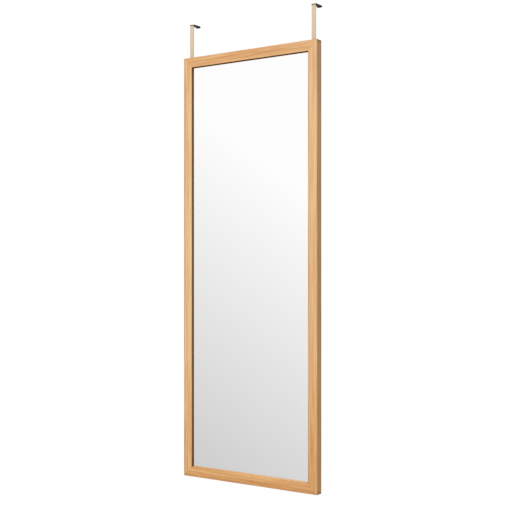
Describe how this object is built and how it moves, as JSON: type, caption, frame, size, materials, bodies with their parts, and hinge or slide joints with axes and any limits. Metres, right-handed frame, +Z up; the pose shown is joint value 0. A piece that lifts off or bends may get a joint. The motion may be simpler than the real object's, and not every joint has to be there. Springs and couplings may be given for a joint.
{
  "type": "over the door mirror",
  "caption": "Tall framed mirror that hangs from the top of a door on two bent steel straps, with a mitred wooden frame and turn buttons behind.",
  "frame": {"origin": "on the door's top edge, at its front face, midway between the two hooks", "axes": "+X to the right as the mirror is looked at, +Y from the mirror to the door, +Z up"},
  "size_m": [0.45, 0.0453, 1.2978],
  "materials": {
    "rail_wood": "clear satin lacquer on pale oak",
    "stile_wood": "clear satin lacquer on pale oak",
    "mirror_glass": "silvered glass with ground edges",
    "foam": "soft white foam sheet",
    "hardboard": "bare brown hardboard",
    "beige_steel": "beige satin paint",
    "dark_rubber": "dark brown moulded rubber",
    "pad_rubber": "dark foam rubber",
    "zinc_steel": "bright zinc plate"
  },
  "bodies": {
    "frame": {"top_rail": "rail_wood", "bottom_rail": "rail_wood", "left_stile": "stile_wood", "right_stile": "stile_wood", "corner_nails": "zinc_steel", "mirror_pane": "mirror_glass", "foam_liner": "foam", "back_panel": "hardboard", "turn_button_screws": "zinc_steel", "hook_screws": "zinc_steel", "hook_washers": "zinc_steel", "upper_left_pad": "pad_rubber", "upper_right_pad": "pad_rubber", "lower_left_pad": "pad_rubber", "lower_right_pad": "pad_rubber"},
    "left_hook": {"left_hook": "beige_steel", "left_hook_sleeve": "dark_rubber"},
    "right_hook": {"right_hook": "beige_steel", "right_hook_sleeve": "dark_rubber"},
    "left_upper_turn_button": {"left_upper_turn_button": "zinc_steel"},
    "left_middle_turn_button": {"left_middle_turn_button": "zinc_steel"},
    "left_lower_turn_button": {"left_lower_turn_button": "zinc_steel"},
    "right_upper_turn_button": {"right_upper_turn_button": "zinc_steel"},
    "right_middle_turn_button": {"right_middle_turn_button": "zinc_steel"},
    "right_lower_turn_button": {"right_lower_turn_button": "zinc_steel"},
    "top_turn_button": {"top_turn_button": "zinc_steel"},
    "bottom_turn_button": {"bottom_turn_button": "zinc_steel"}
  },
  "joints": [
    {"name": "left_hook_slide", "type": "slide", "parent": "frame", "child": "left_hook", "axis": [0, 0, 1], "range_m": [-0.03, 0.01]},
    {"name": "right_hook_slide", "type": "slide", "parent": "frame", "child": "right_hook", "axis": [0, 0, 1], "range_m": [-0.03, 0.01]},
    {"name": "left_upper_turn", "type": "hinge", "parent": "frame", "child": "left_upper_turn_button", "pos_m": [-0.208, -0.01, -0.311], "axis": [0, 1, 0], "range_deg": [-90, 90]},
    {"name": "left_middle_turn", "type": "hinge", "parent": "frame", "child": "left_middle_turn_button", "pos_m": [-0.208, -0.01, -0.695], "axis": [0, 1, 0], "range_deg": [-90, 90]},
    {"name": "left_lower_turn", "type": "hinge", "parent": "frame", "child": "left_lower_turn_button", "pos_m": [-0.208, -0.01, -1.079], "axis": [0, 1, 0], "range_deg": [-90, 90]},
    {"name": "right_upper_turn", "type": "hinge", "parent": "frame", "child": "right_upper_turn_button", "pos_m": [0.208, -0.01, -0.311], "axis": [0, 1, 0], "range_deg": [-90, 90]},
    {"name": "right_middle_turn", "type": "hinge", "parent": "frame", "child": "right_middle_turn_button", "pos_m": [0.208, -0.01, -0.695], "axis": [0, 1, 0], "range_deg": [-90, 90]},
    {"name": "right_lower_turn", "type": "hinge", "parent": "frame", "child": "right_lower_turn_button", "pos_m": [0.208, -0.01, -1.079], "axis": [0, 1, 0], "range_deg": [-90, 90]},
    {"name": "top_turn", "type": "hinge", "parent": "frame", "child": "top_turn_button", "pos_m": [0, -0.01, -0.112], "axis": [0, 1, 0], "range_deg": [-90, 90]},
    {"name": "bottom_turn", "type": "hinge", "parent": "frame", "child": "bottom_turn_button", "pos_m": [0, -0.01, -1.278], "axis": [0, 1, 0], "range_deg": [-90, 90]}
  ]
}
